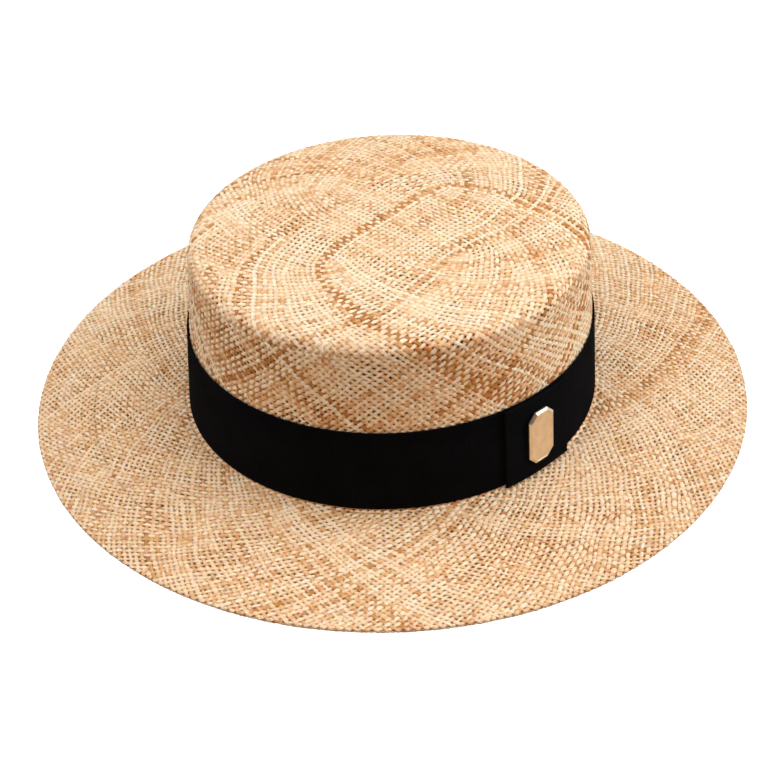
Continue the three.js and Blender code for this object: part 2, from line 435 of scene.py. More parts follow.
class Weave:
    """Plain weave of two spiral families, grown ring by ring from a square patch in the tip's middle"""

    def __init__(self, profile, sizes):
        self.profile = profile
        self.pitch = sizes.pitch
        self.sizes = sizes
        self.random = np.random.default_rng(sizes.seed)
        self.strands = 0
        self.inserted = 0
        self.rings = []
        self.grow_patch(sizes.patch_rings)
        while self.grow_ring():
            pass
        self.flatten()
        self.relax()
        self.loosen()
        self.colour_strands()

    def new_strand(self):
        """Number of a new strand"""
        self.strands += 1
        return self.strands - 1

    def grow_patch(self, count):
        """Square patch: each ring is a diamond of crossings with a new pair of strands on each axis"""
        for number in range(count):
            along, turn, right, left, starts = [], [], [], [], []
            for quarter in range(4):
                axis = self.sizes.patch_turn + quarter * math.pi / 2
                along.append((number + 0.5) * self.pitch)
                turn.append(axis)
                right.append(self.new_strand())
                left.append(self.new_strand())
                starts.append(True)
                for step in range(1, number + 1):
                    across = (number + 0.5 - step) * self.pitch
                    up = (step - 0.5) * self.pitch
                    above = quarter * number + step - 1
                    before = self.rings[-1]
                    along.append(math.hypot(across, up))
                    turn.append(axis + math.atan2(up, across))
                    right.append(before.right[above])
                    left.append(before.left[(above + 1) % len(before)])
                    starts.append(False)
            self.rings.append(Ring(along, turn, right, left, starts))

    def grow_ring(self):
        """Next ring, with new strands wherever it is wide enough for them; false past the hem's end"""
        before = self.rings[-1]
        count = len(before)
        radius = float(self.profile.radius_at(before.along.mean()))
        advance = self.pitch**2 * count / (FULL_TURN * radius)
        next_turn = np.append(before.turn[1:], before.turn[0] + FULL_TURN)
        turn = (before.turn + next_turn) / 2
        along = (before.along + np.roll(before.along, -1)) / 2
        along = along + ROUNDING * (along.mean() - along) + advance
        if along.mean() > self.profile.total:
            return False
        ring = Ring(along, turn, before.right, np.roll(before.left, -1), np.zeros(count, bool))
        cell = self.pitch * DIAGONAL * self.sizes.lay
        wide = FULL_TURN * float(self.profile.radius_at(along.mean())) / cell
        for _ in range(max(0, round(wide) - count)):
            self.insert_pair(ring)
        for _ in range(RELAX_RING):
            ahead = np.append(ring.turn[1:], ring.turn[0] + FULL_TURN)
            behind = np.insert(ring.turn[:-1], 0, ring.turn[-1] - FULL_TURN)
            ring.turn = ring.turn + (ahead + behind - 2 * ring.turn) / 4
        self.rings.append(ring)
        return True

    def insert_pair(self, ring):
        """Lay in one new strand, folded in two, at the next golden turn"""
        self.inserted += 1
        wanted = ring.turn[0] + (self.inserted * GOLDEN_TURN) % FULL_TURN
        place = min(int(np.searchsorted(ring.turn, wanted)), len(ring) - 1)
        place = max(place, 1)
        ring.turn = np.insert(ring.turn, place, (ring.turn[place - 1] + ring.turn[place]) / 2)
        ring.along = np.insert(ring.along, place, (ring.along[place - 1] + ring.along[place]) / 2)
        ring.right = np.insert(ring.right, place, self.new_strand())
        ring.left = np.insert(ring.left, place, self.new_strand())
        ring.starts = np.insert(ring.starts, place, True)

    def flatten(self):
        """Join the rings into long arrays and sort the crossings along the strands of each family"""
        for name in ("along", "turn", "right", "left", "starts"):
            setattr(self, name, np.concatenate([getattr(ring, name) for ring in self.rings]))
        self.ring = np.repeat(np.arange(len(self.rings)), [len(ring) for ring in self.rings])
        self.chains = [np.lexsort((self.ring, family)) for family in (self.right, self.left)]

    def relax(self):
        """Even out the strands: each crossing moves towards the middle of its neighbours"""
        count = len(self.along)
        free = (self.ring >= self.sizes.patch_rings - 1) & (self.ring < len(self.rings) - 1) & ~self.starts
        links = []
        for family, order in zip((self.right, self.left), self.chains):
            joined = family[order[1:]] == family[order[:-1]]
            links.append((order[:-1][joined], order[1:][joined]))
        for _ in range(RELAX_ALL):
            pull_along = np.zeros(count)
            pull_turn = np.zeros(count)
            weight = np.zeros(count)
            for first, second in links:
                step_along = self.along[second] - self.along[first]
                step_turn = half_turn_range(self.turn[second] - self.turn[first])
                for total, step in ((pull_along, step_along), (pull_turn, step_turn)):
                    np.add.at(total, first, step)
                    np.add.at(total, second, -step)
                for end in (first, second):
                    np.add.at(weight, end, 1)
            share = np.where(free & (weight == NEIGHBOURS), RELAX_SHARE / np.maximum(weight, 1), 0)
            self.along = self.along + share * pull_along
            self.turn = self.turn + share * pull_turn

    def loosen(self):
        """Slow wander and small random offsets; the wander fades at the tip's middle and towards the hem"""
        points, _ = self.profile.place(self.along, self.turn)
        brim_width = self.profile.brim_width
        brim_left = self.profile.brim_start + WANDER_END * brim_width - self.along
        fade_out = np.clip(brim_left / brim_width, 0, 1)
        fade_in = np.clip(self.along / self.sizes.drift_length, 0, 1)
        wander_turn = self.wander(points) * self.sizes.drift * fade_in
        wander_along = WANDER_ALONG * self.wander(points) * self.sizes.drift * fade_in * fade_out
        jitter = self.random.normal(0, self.sizes.jitter, (2, len(points)))
        radius = np.maximum(self.profile.radius_at(self.along), self.pitch)
        self.turn = self.turn + (wander_turn + jitter[0]) / radius
        self.along = np.clip(self.along + wander_along + jitter[1], 0, self.profile.total)

    def wander(self, points):
        """Smooth random field over the body, about one high"""
        field = np.zeros(len(points))
        for _ in range(WANDER_WAVES):
            direction = self.random.normal(size=3)
            direction /= np.linalg.norm(direction)
            stretch = self.random.uniform(*WANDER_STRETCH)
            phase = self.random.uniform(0, FULL_TURN)
            field += np.sin(points @ direction * FULL_TURN * stretch / self.sizes.drift_length + phase)
        return field / math.sqrt(WANDER_WAVES)

    def colour_strands(self):
        """Width of each strand, its place in the colour noise and how much browner than the mean it is"""
        width = self.random.normal(1, self.sizes.width_spread, self.strands)
        self.strand_width = np.clip(width, *WIDTH_LIMITS)
        self.strand_offset = np.repeat(self.random.uniform(0, 1, self.strands // 2), 2)
        self.bunch_tone = np.zeros(self.strands)
        self.own_tone = np.zeros(self.strands)
        self.strand_seed = np.zeros(self.strands)
        leg = self.rings[-1].right
        count = len(leg)
        own = TONE_OWN * self.random.normal(size=count)
        bunch = sum(swing * self.bunches(count, width) for width, swing in TONE_BUNCHES)
        streaks = (self.random.random(count) < STREAK_SHARE) * self.random.choice(STREAK_SIDES, count)
        own = np.clip(own + TONE_STREAK * streaks, -TONE_MOST, TONE_MOST)
        seed = self.bunches(count, SEED_BUNCH) + SEED_OWN * self.random.normal(size=count)
        for twin in (leg, leg + 1):
            self.bunch_tone[twin] = bunch
            self.own_tone[twin] = own
            self.strand_seed[twin] = seed
        self.strand_arc = np.zeros(self.strands)
        for degrees, distance, width in BROWN_ARCS:
            legs = self.near(math.radians(degrees), distance * MM, width)
            self.strand_arc[legs] = ARC_TONE - self.bunch_tone[legs] - self.own_tone[legs]

    def near(self, turn, distance, width):
        """Right-hand legs that pass next to a place on the tip"""
        ring = min(self.rings, key=lambda each: abs(each.along.mean() - distance))
        offset = half_turn_range(ring.turn - turn)
        return ring.right[np.argsort(np.abs(offset))[:width]]

    def bunches(self, count, width):
        """Random value for each strand of a family, alike for about so many neighbours at the hem"""
        steps = self.random.normal(size=count // width + 2)
        place = np.arange(count) / width + self.random.random()
        part = place % 1
        ease = part * part * (3 - 2 * part)
        whole = place.astype(int)
        return steps[whole] * (1 - ease) + steps[np.minimum(whole + 1, len(steps) - 1)] * ease


class StrandRun:
    """Sections along every strand of one family, from the tip to the hem"""

    def __init__(self, weave, family, nodes):
        strand = family[nodes]
        ring = weave.ring[nodes]
        joined = np.append(strand[1:] == strand[:-1], False)
        nexts = np.append(nodes[1:], nodes[-1])
        bend = weave.profile.bend_at(weave.along[nexts]) - weave.profile.bend_at(weave.along[nodes])
        extra = np.zeros(len(weave.rings), int)
        np.maximum.at(extra, ring[joined], np.floor(bend[joined] / FOLD_STEP).astype(int))
        counts = 1 + np.where(joined, np.minimum(extra[ring], FOLD_MOST), 0)
        base = np.repeat(np.arange(len(nodes)), counts)
        step = np.arange(len(base)) - np.repeat(np.cumsum(counts) - counts, counts)
        part = step / counts[base]
        over = np.where((ring % 2 == 0) == (family is weave.right), 1.0, -1.0) * ~weave.starts[nodes]
        next_over = np.append(over[1:], over[-1])
        ease = (1 - np.cos(math.pi * part)) / 2
        from_node, to_node = nodes[base], nexts[base]
        along = weave.along[from_node] + (weave.along[to_node] - weave.along[from_node]) * part
        turn = weave.turn[from_node] + half_turn_range(weave.turn[to_node] - weave.turn[from_node]) * part
        self.strand = strand[base]
        self.ring = ring[base] + part
        self.rise = over[base] * (1 - ease) + next_over[base] * ease
        self.colour(weave, along, 1 if family is weave.right else -1)
        self.shape(weave, along, turn)

    def colour(self, weave, along, side):
        """Tone of every section, by its strand, its place on the hat and its family, whose painted shade
        makes one family lighter than the other
        """
        top, foot = weave.profile.wall_start, weave.profile.brim_start
        on_tip = np.interp(along, (top, foot), (1, 0))
        places = (TIP_FADE[0] * top, TIP_FADE[1] * top, foot)
        bunch, own, family = (
            np.interp(along, places, values) for values in (BUNCH_SPREAD, OWN_SPREAD, FAMILY_PAINTED_SHADE))
        # Painted shade and highlight: one family of strands lighter, the other darker
        self.tone = TONE_MIDDLE + BRIM_TONE * (1 - on_tip) + side * family
        self.tone += bunch * weave.bunch_tone[self.strand]
        self.tone += own * weave.own_tone[self.strand] + on_tip * weave.strand_arc[self.strand]

    def shape(self, weave, along, turn):
        """Corners of every section and how far along its strand it lies"""
        sizes = weave.sizes
        edge = weave.profile.edge_start
        relief = np.interp(along, (edge - sizes.press_width, edge), (1, sizes.press))
        middle, outward = weave.profile.place(along, turn)
        middle = middle + outward * (self.rise * relief * sizes.wave)[:, None]
        count = len(along)
        same = self.strand[1:] == self.strand[:-1]
        ahead = np.append(np.where(same, np.arange(1, count), np.arange(count - 1)), count - 1)
        behind = np.insert(np.where(same, np.arange(count - 1), np.arange(1, count)), 0, 0)
        forward = unit(middle[ahead] - middle[behind])
        sideways = unit(np.cross(outward, forward))
        upward = unit(np.cross(forward, sideways))
        half_width = 0.5 * sizes.pitch * sizes.width_share * weave.strand_width[self.strand]
        half_width = half_width * (1 + sizes.pinch * (self.rise - 1) / 2)
        top = weave.profile.wall_start
        half_width = half_width * np.interp(along, (TIP_FADE[0] * top, TIP_FADE[1] * top), (TIP_WIDTH, 1))
        half_thickness = 0.5 * sizes.thickness * relief
        corner = np.array(STRAND_SECTION)
        across = (corner[:, 0] * half_width[:, None])[:, :, None] * sideways[:, None, :]
        through = (corner[:, 1] * half_thickness[:, None])[:, :, None] * upward[:, None, :]
        self.corners = middle[:, None, :] + across + through
        self.corners[:, :, 2] = np.maximum(self.corners[:, :, 2], 0)
        run = np.cumsum(np.linalg.norm(middle - middle[behind], axis=1))
        first = np.flatnonzero(np.insert(~same, 0, True))
        run = run - np.repeat(run[first], np.diff(np.append(first, count)))
        self.run = run + weave.strand_offset[self.strand]


def straw_piece(name, weave, runs, first_ring, last_ring, material):
    """Mesh of all strands between two rings"""
    section = np.array(STRAND_SECTION)
    sides = len(section)
    around = np.arange(sides)
    after = (around + 1) % sides
    points, places, tones, rises, quads, caps = [], [], [], [], [], []
    made = 0
    for family in runs:
        inside = (family.ring >= first_ring) & (family.ring <= last_ring)
        strand = family.strand[inside]
        same = strand[1:] == strand[:-1]
        lone = ~np.append(same, False) & ~np.insert(same, 0, False)
        chosen = np.flatnonzero(inside)[~lone]
        strand = family.strand[chosen]
        same = strand[1:] == strand[:-1]
        points.append(family.corners[chosen].reshape(-1, 3))
        run = np.repeat(family.run[chosen], sides)
        across = np.tile(section[:, 0], len(strand))
        places.append(np.stack((run, across, np.repeat(weave.strand_seed[strand], sides)), axis=1))
        tones.append(np.repeat(family.tone[chosen], sides))
        rises.append(np.repeat(family.rise[chosen], sides))
        corner = made + np.arange(len(strand)) * sides
        low = corner[:-1][same][:, None]
        high = corner[1:][same][:, None]
        quad = np.stack((low + around, high + around, high + after, low + after), axis=2)
        quads.append(quad.reshape(-1, 4))
        caps.append(corner[np.insert(~same, 0, True)][:, None] + around)
        caps.append(corner[np.append(~same, True)][:, None] + around[::-1])
        made += len(strand) * sides
    faces = [np.concatenate(quads), np.concatenate(caps)]
    piece = mesh_piece(name, np.concatenate(points), faces, [True, False], material)
    for label, values in (("strand_place", places), ("strand_tone", tones), ("strand_rise", rises)):
        add_numbers(piece, label, np.concatenate(values))
    return piece


# Material helpers

def put(tree, kind, values=None, **settings):
    """New node with its settings and unlinked input values"""
    node = tree.nodes.new(kind)
    for name, value in settings.items():
        setattr(node, name, value)
    for name, value in (values or {}).items():
        node.inputs[name].default_value = value
    return node


def feed(tree, socket, value):
    """Link a socket to an input, or set the input to a number"""
    if isinstance(value, bpy.types.NodeSocket):
        tree.links.new(value, socket)
    else:
        socket.default_value = value


def sums(tree, operation, first, second=0.0, third=0.0):
    """Math node on sockets or numbers"""
    node = put(tree, "ShaderNodeMath", operation=operation)
    for socket, value in zip(node.inputs, (first, second, third)):
        feed(tree, socket, value)
    return node.outputs[0]


def times(tree, first, second):
    """Product of two sockets or numbers"""
    return sums(tree, "MULTIPLY", first, second)


def ramp(tree, value, low, high, start=0.0, end=1.0):
    """Value mapped smoothly from one range to another"""
    node = put(tree, "ShaderNodeMapRange", interpolation_type="SMOOTHSTEP")
    names = ("Value", "From Min", "From Max", "To Min", "To Max")
    for name, entry in zip(names, (value, low, high, start, end)):
        feed(tree, node.inputs[name], entry)
    return node.outputs["Result"]


def vector_of(tree, x, y, z=0.0):
    """Vector made of three sockets or numbers"""
    node = put(tree, "ShaderNodeCombineXYZ")
    for socket, value in zip(node.inputs, (x, y, z)):
        feed(tree, socket, value)
    return node.outputs[0]


def parts_of(tree, vector):
    """The three numbers of a vector"""
    node = put(tree, "ShaderNodeSeparateXYZ")
    tree.links.new(vector, node.inputs[0])
    return node.outputs


def noise(tree, vector, detail=2.0, roughness=0.5, output="Fac"):
    """Noise at a vector, as a value or as a colour"""
    node = put(tree, "ShaderNodeTexNoise", {"Scale": 1.0, "Detail": detail, "Roughness": roughness})
    tree.links.new(vector, node.inputs["Vector"])
    return node.outputs[output]


def blend(tree, factor, first, second, mode="MIX"):
    """Mix of two colours"""
    node = put(tree, "ShaderNodeMix", data_type="RGBA", blend_type=mode)
    for index, value in ((0, factor), (6, first), (7, second)):
        feed(tree, node.inputs[index], value)
    return node.outputs[2]


def attribute(tree, name, output="Fac"):
    """A number or a vector stored in the mesh"""
    return put(tree, "ShaderNodeAttribute", attribute_name=name).outputs[output]


def shade_of(colour, share):
    """Opaque colour made darker or lighter"""
    return tuple(share * part for part in colour[:3]) + (1.0,)


def new_group(name, inputs, outputs):
    """Shader node group with named sockets; returns its tree, its inputs by name and its outputs by name"""
    tree = bpy.data.node_groups.new(name, "ShaderNodeTree")
    for in_out, sockets in (("INPUT", inputs), ("OUTPUT", outputs)):
        for label, kind in sockets.items():
            tree.interface.new_socket(label, in_out=in_out, socket_type=f"NodeSocket{kind}")
    return tree, tree.nodes.new("NodeGroupInput").outputs, tree.nodes.new("NodeGroupOutput").inputs


def use_group(tree, group, **values):
    """Place a node group in a material, with a socket or a value for each of its inputs"""
    node = put(tree, "ShaderNodeGroup", node_tree=group)
    for name, value in values.items():
        feed(tree, node.inputs[name], value)
    return node.outputs


def new_material(name):
    """Material with an empty node tree, its output and its Principled shader"""
    material = bpy.data.materials.new(name)
    material.use_nodes = True
    tree = material.node_tree
    tree.nodes.clear()
    output = tree.nodes.new("ShaderNodeOutputMaterial")
    shader = tree.nodes.new("ShaderNodeBsdfPrincipled")
    tree.links.new(shader.outputs[0], output.inputs[0])
    return material, tree, shader


def add_bump(tree, shader, height, strength, distance):
    """Bump from a height value to the shader's normal"""
    node = put(tree, "ShaderNodeBump", {"Strength": strength, "Distance": distance})
    tree.links.new(height, node.inputs["Height"])
    tree.links.new(node.outputs[0], shader.inputs["Normal"])


# Materials

# Stretches of a noise's range that are spread over a whole ramp, from narrow to wide
NARROW_RANGE = (0.35, 0.65)
CLOUD_RANGE = (0.3, 0.7)
MIDDLE_RANGE = (0.25, 0.75)
WIDE_RANGE = (0.2, 0.8)

# Noise along a strand: waves for each metre of its run, for changes of tone, gaps, tints and fine fibres
STRETCH_WAVES = 34.0
SPOT_WAVES = 190.0
GAP_WAVES = 400.0
TINT_WAVES = 330.0
FIBRE_WAVES = 260.0

# Noise planes of spots and gaps, fibre waves across half a strand, and the noise between strand numbers
SPOT_PLANE = 3.0
GAP_PLANE = 7.0
FIBRES_ACROSS = 2.5
STRAND_SHIFT = 97.0

# How strongly stretches and spots change a strand's tone, and tones between which it passes to each colour
STRETCH_TONE = 0.7
SPOT_TONE = 1.0
COLOUR_STEPS = (("Straw", 0.1, 0.48), ("Tan", 0.45, 0.75), ("Brown", 0.72, 1.0))

# Painted shade in the gaps and towards the strand edges: rise at which it is full, its least on top of a
# strand, its spread from gap to gap
GAP_RISE = 0.2
GAP_LEAST = 0.1
GAP_SPREAD = (0.1, 0.55)

# Share of other tints, and the spread of the fine fibres' brightness and roughness
TINT_SHARE = 0.32
FIBRE_SHADE = (0.88, 1.1)
FIBRE_ROUGHNESS = (0.42, 0.62)


def mottle_group():
    """Soft cloudy variation between two shades, for cloth, metal and floor"""
    inputs = {"Place": "Vector", "Scale": "Float", "Dark": "Color", "Light": "Color"}
    tree, entry, out = new_group("Soft mottle", inputs, {"Colour": "Color"})
    node = put(tree, "ShaderNodeTexNoise", {"Detail": 4.0, "Roughness": 0.55})
    tree.links.new(entry["Place"], node.inputs["Vector"])
    tree.links.new(entry["Scale"], node.inputs["Scale"])
    clouds = ramp(tree, node.outputs["Fac"], *CLOUD_RANGE)
    tree.links.new(blend(tree, clouds, entry["Dark"], entry["Light"]), out["Colour"])
    return tree


def fibre_group():
    """Colour, roughness and fine fibre of a straw strand, by its run, its width and its own number, with
    painted shade towards its edges and where it dips under another
    """
    inputs = {"Place": "Vector", "Tone": "Float", "Rise": "Float"}
    inputs.update(dict.fromkeys(("Pale", "Straw", "Tan", "Brown", "Gap"), "Color"))
    tree, entry, out = new_group(
        "Straw fibre", inputs, {"Colour": "Color", "Roughness": "Float", "Height": "Float"})
    run, across, number = parts_of(tree, entry["Place"])
    shift = times(tree, number, STRAND_SHIFT)
    stretches = noise(tree, vector_of(tree, times(tree, run, STRETCH_WAVES), shift))
    spots = noise(tree, vector_of(tree, times(tree, run, SPOT_WAVES), shift, SPOT_PLANE))
    gaps = noise(tree, vector_of(tree, times(tree, run, GAP_WAVES), shift, GAP_PLANE))
    tints = noise(tree, vector_of(tree, times(tree, run, TINT_WAVES), across, shift), output="Color")
    fibre_place = vector_of(tree, times(tree, run, FIBRE_WAVES), times(tree, across, FIBRES_ACROSS), shift)
    fibres = noise(tree, fibre_place, 3.0, 0.6)
    tone = sums(tree, "MULTIPLY_ADD", sums(tree, "SUBTRACT", stretches, 0.5), STRETCH_TONE, entry["Tone"])
    tone = sums(tree, "MULTIPLY_ADD", sums(tree, "SUBTRACT", spots, 0.5), SPOT_TONE, tone)
    colour = entry["Pale"]
    for name, low, high in COLOUR_STEPS:
        colour = blend(tree, ramp(tree, tone, low, high), colour, entry[name])
    # Painted shade: the colour turns towards the gap colour at the strand's edges and where it dips under
    # another strand
    edge = ramp(tree, sums(tree, "ABSOLUTE", across), 0.0, 1.0)
    dip = ramp(tree, sums(tree, "ABSOLUTE", entry["Rise"]), 1.0, GAP_RISE, GAP_LEAST, 1.0)
    shade = times(tree, times(tree, edge, dip), ramp(tree, gaps, *NARROW_RANGE, *GAP_SPREAD))
    colour = blend(tree, shade, colour, entry["Gap"])
    colour = blend(tree, TINT_SHARE, colour, tints, "OVERLAY")
    grey = put(tree, "ShaderNodeCombineColor")
    brightness = ramp(tree, fibres, *MIDDLE_RANGE, *FIBRE_SHADE)
    for socket in grey.inputs:
        tree.links.new(brightness, socket)
    tree.links.new(blend(tree, 1.0, colour, grey.outputs[0], "MULTIPLY"), out["Colour"])
    tree.links.new(ramp(tree, fibres, *WIDE_RANGE, *FIBRE_ROUGHNESS), out["Roughness"])
    tree.links.new(fibres, out["Height"])
    return tree


def straw_material(colours):
    """Natural straw strands"""
    material, tree, shader = new_material("natural straw")
    made = use_group(
        tree, fibre_group(), Place=attribute(tree, "strand_place", "Vector"),
        Tone=attribute(tree, "strand_tone"), Rise=attribute(tree, "strand_rise"),
        Pale=tuple(colours.pale), Straw=tuple(colours.straw), Tan=tuple(colours.tan),
        Brown=tuple(colours.brown), Gap=tuple(colours.gap))
    tree.links.new(made["Colour"], shader.inputs["Base Color"])
    tree.links.new(made["Roughness"], shader.inputs["Roughness"])
    shader.inputs["Specular IOR Level"].default_value = 0.12
    add_bump(tree, shader, made["Height"], 0.35, 0.1 * MM)
    return material


# Thread waves for each metre along and across the ribbon, spread of its roughness, clouds and lighter shade
THREAD_WAVES = (400.0, 2600.0)
THREAD_ROUGHNESS = (0.62, 0.8)
RIBBON_MOTTLE = 60.0
RIBBON_LIGHTER = 1.5


def ribbon_material(ribbon, mottle):
    """Black grosgrain: ribs in the mesh, threads across them in the bump"""
    material, tree, shader = new_material("black grosgrain")
    place = attribute(tree, "ribbon_place", "Vector")
    along, across, _ = parts_of(tree, place)
    waves = [times(tree, part, count) for part, count in zip((along, across), THREAD_WAVES)]
    threads = noise(tree, vector_of(tree, *waves))
    colour = tuple(ribbon.colour)
    light = shade_of(colour, RIBBON_LIGHTER)
    made = use_group(tree, mottle, Place=place, Scale=RIBBON_MOTTLE, Dark=colour, Light=light)
    tree.links.new(made["Colour"], shader.inputs["Base Color"])
    tree.links.new(ramp(tree, threads, *WIDE_RANGE, *THREAD_ROUGHNESS), shader.inputs["Roughness"])
    shader.inputs["Specular IOR Level"].default_value = 0.02
    add_bump(tree, shader, threads, 0.4, 0.08 * MM)
    return material


# Brush marks for each metre across and up the plate, spread of its roughness, clouds and darker shade
BRUSH_WAVES = (9000.0, 250.0)
BRUSH_ROUGHNESS = (0.26, 0.42)
PLATE_MOTTLE = 250.0
PLATE_DARKER = 0.88


def plate_material(plate, mottle):
    """Pale gold metal, brushed along its height"""
    material, tree, shader = new_material("pale gold metal")
    place = put(tree, "ShaderNodeTexCoord").outputs["Object"]
    _, across, up = parts_of(tree, place)
    waves = [times(tree, part, count) for part, count in zip((across, up), BRUSH_WAVES)]
    brushed = noise(tree, vector_of(tree, *waves), 3.0)
    colour = tuple(plate.colour)
    dark = shade_of(colour, PLATE_DARKER)
    made = use_group(tree, mottle, Place=place, Scale=PLATE_MOTTLE, Dark=dark, Light=colour)
    tree.links.new(made["Colour"], shader.inputs["Base Color"])
    shader.inputs["Metallic"].default_value = 1.0
    tree.links.new(ramp(tree, brushed, *WIDE_RANGE, *BRUSH_ROUGHNESS), shader.inputs["Roughness"])
    add_bump(tree, shader, brushed, 0.08, 0.05 * MM)
    return material


# The floor's clouds and darker shade, and where its own light starts, as a share of the hat's half width
FLOOR_MOTTLE = 3.0
FLOOR_DARKER = 0.99
GLOW_START = 0.9


def floor_material(stage, mottle):
    """Plain pale floor with hardly any variation, painted in the straw's warm shade below the hat"""
    material, tree, shader = new_material("pale floor")
    place = put(tree, "ShaderNodeTexCoord").outputs["Object"]
    light = tuple(stage.floor_colour)
    dark = shade_of(light, FLOOR_DARKER)
    made = use_group(tree, mottle, Place=place, Scale=FLOOR_MOTTLE, Dark=dark, Light=light)
    seen = put(tree, "ShaderNodeLightPath").outputs["Is Camera Ray"]
    reach = put(tree, "ShaderNodeVectorMath", operation="LENGTH")
    tree.links.new(place, reach.inputs[0])
    bare = ramp(tree, reach.outputs["Value"], GLOW_START * HALF_WIDTH, HALF_LENGTH)
    # Painted shade: below the hat the floor shows the warm shade colour instead of its own
    shown = blend(tree, bare, tuple(stage.shade_colour), made["Colour"])
    bounce = shade_of(light, stage.floor_bounce)
    tree.links.new(blend(tree, seen, bounce, shown), shader.inputs["Base Color"])
    glow = blend(tree, times(tree, seen, bare), (0.0, 0.0, 0.0, 1.0), made["Colour"])
    tree.links.new(glow, shader.inputs["Emission Color"])
    shader.inputs["Emission Strength"].default_value = stage.floor_glow
    shader.inputs["Roughness"].default_value = 0.9
    shader.inputs["Specular IOR Level"].default_value = 0.1
    return material


# Ribbon and plate

# Rows round the ribbon's section: side of its middle from -1 to 1, share of the height, of the rib depth
RIBBON_ROWS = (
    (0.3, 0.0, 0.0), (0.9, 0.004, 0.0), (1.0, 0.014, 0.5), (1.0, 0.03, 1.0), (1.0, 0.27, 1.0),
    (1.0, 0.5, 1.0), (1.0, 0.73, 1.0), (1.0, 0.97, 1.0), (1.0, 0.986, 0.5), (0.9, 0.996, 0.0),
    (0.3, 1.0, 0.0), (-0.6, 1.0, 0.0), (-1.0, 0.99, 0.0), (-1.0, 0.01, 0.0), (-0.6, 0.0, 0.0),
)
COLUMNS_PER_RIB = 4

# Thickness of one of the tab's two layers, as a share of the folded tab
TAB_LAYER_SHARE = 0.46

# Levels of the plate from its back to its sunk face: inset as a share of the bevel, share of the thickness
PLATE_LEVELS = (
    (0.25, 0.0), (0.0, 0.1), (0.0, 0.55), (0.06, 0.62), (0.92, 0.97), (1.0, 1.0), (1.25, 1.0), (1.35, 0.93),
)


def loop_steps(path):
    """Lengths between the points of a closed path"""
    return np.linalg.norm(np.roll(path, -1, axis=0) - path, axis=1)


def ribbon_loop(name, path, outward, upward, thickness, height, rib_depth, material):
    """Closed loop of ribbon along a path of its middle, with upright ribs on its outer face"""
    columns = len(path)
    along = np.concatenate(([0], np.cumsum(loop_steps(path))[:-1]))
    rib = 0.5 * np.cos(FULL_TURN * np.arange(columns) / COLUMNS_PER_RIB) - 0.5
    side, level, depth = np.array(RIBBON_ROWS).T
    offset = (side * thickness / 2)[None, :] + rib[:, None] * depth[None, :] * rib_depth
    points = path[:, None, :] + outward[:, None, :] * offset[:, :, None]
    points = points + upward[:, None, :] * (level * height)[None, :, None]
    count = len(RIBBON_ROWS)
    index = np.arange(columns * count).reshape(columns, count)
    right = np.roll(index, -1, axis=0)
    quads = np.stack((index, right, np.roll(right, -1, axis=1), np.roll(index, -1, axis=1)), axis=2)
    piece = mesh_piece(name, points.reshape(-1, 3), [quads.reshape(-1, 4)], [True], material)
    place = (np.repeat(along, count), np.tile(level * height, columns), np.tile(side, columns))
    add_numbers(piece, "ribbon_place", np.stack(place, axis=1))
    return piece


def band_path(body, ribbon):
    """Middle of the ribbon at its lower edge, its outward directions and its upward ones"""
    slope = body.crown_lean / body.crown_height
    drop = ribbon.foot_height - body.brim_foot_height
    radius = body.wall_foot_radius - slope * drop + ribbon.gap + ribbon.thickness / 2
    ribs = round(FULL_TURN * radius / ribbon.rib_pitch)
    turn = np.linspace(0, FULL_TURN, ribs * COLUMNS_PER_RIB, endpoint=False)
    swing = body.oval_swing / radius
    flat = np.column_stack((np.cos(turn), np.sin(turn), np.zeros(len(turn))))
    path = flat * radius * np.array((1 - swing, 1 + swing, 0)) + np.array((0, 0, ribbon.foot_height))
    upward = np.column_stack((-slope * flat[:, 0], -slope * flat[:, 1], np.ones(len(turn))))
    return path, flat, upward


def tab_matrix(body, ribbon):
    """Frame of the tab: x outward, y along the ribbon, z up the wall"""
    slope = body.crown_lean / body.crown_height
    foot_height = ribbon.foot_height - ribbon.tab_drop
    drop = foot_height - body.brim_foot_height
    face = body.wall_foot_radius - slope * drop + ribbon.gap + ribbon.thickness
    swing = body.oval_swing / face
    across = face * math.cos(ribbon.tab_turn) * (1 - swing)
    back = face * math.sin(ribbon.tab_turn) * (1 + swing)
    turn = Matrix.Rotation(ribbon.tab_turn, 4, "Z") @ Matrix.Rotation(-math.atan(slope), 4, "Y")
    return Matrix.Translation((across, back, foot_height)) @ turn


def tab_path(ribbon, layer):
    """Flat loop of the folded tab in its own frame: front layer, fold, back layer, fold"""
    bow = ribbon.tab_bow_radius
    half_turn = (ribbon.tab_width - ribbon.tab_thickness) / 2 / bow
    gap = (ribbon.tab_thickness - layer) / 2
    middle = ribbon.gap + ribbon.tab_thickness / 2
    length = 4 * half_turn * bow + FULL_TURN * gap
    columns = round(length / ribbon.rib_pitch) * COLUMNS_PER_RIB
    face = round(columns * 2 * half_turn * bow / length)
    fold = columns // 2 - face
    front = np.linspace(-half_turn, half_turn, face, endpoint=False)
    round_end = np.linspace(0, math.pi, fold, endpoint=False)
    points, outward = [], []
    for side in (1, -1):
        turn = side * front
        aim = np.column_stack((np.cos(turn), np.sin(turn)))
        points.append(aim * (bow + side * gap))
        outward.append(side * aim)
        end = side * half_turn
        radial = np.array((math.cos(end), math.sin(end)))
        onward = side * np.array((-math.sin(end), math.cos(end)))
        aim = np.cos(round_end)[:, None] * side * radial + np.sin(round_end)[:, None] * onward
        points.append(radial * bow + aim * gap)
        outward.append(aim)
    points = np.concatenate(points) - np.array((bow - middle, 0))
    level = np.zeros((len(points), 1))
    return np.hstack((points, level)), np.hstack((np.concatenate(outward), level))


def turned(matrix, vectors):
    """Directions through a matrix"""
    return vectors @ np.array(matrix.to_3x3()).T


def moved(matrix, points):
    """Points through a matrix"""
    return turned(matrix, points) + np.array(matrix.translation)


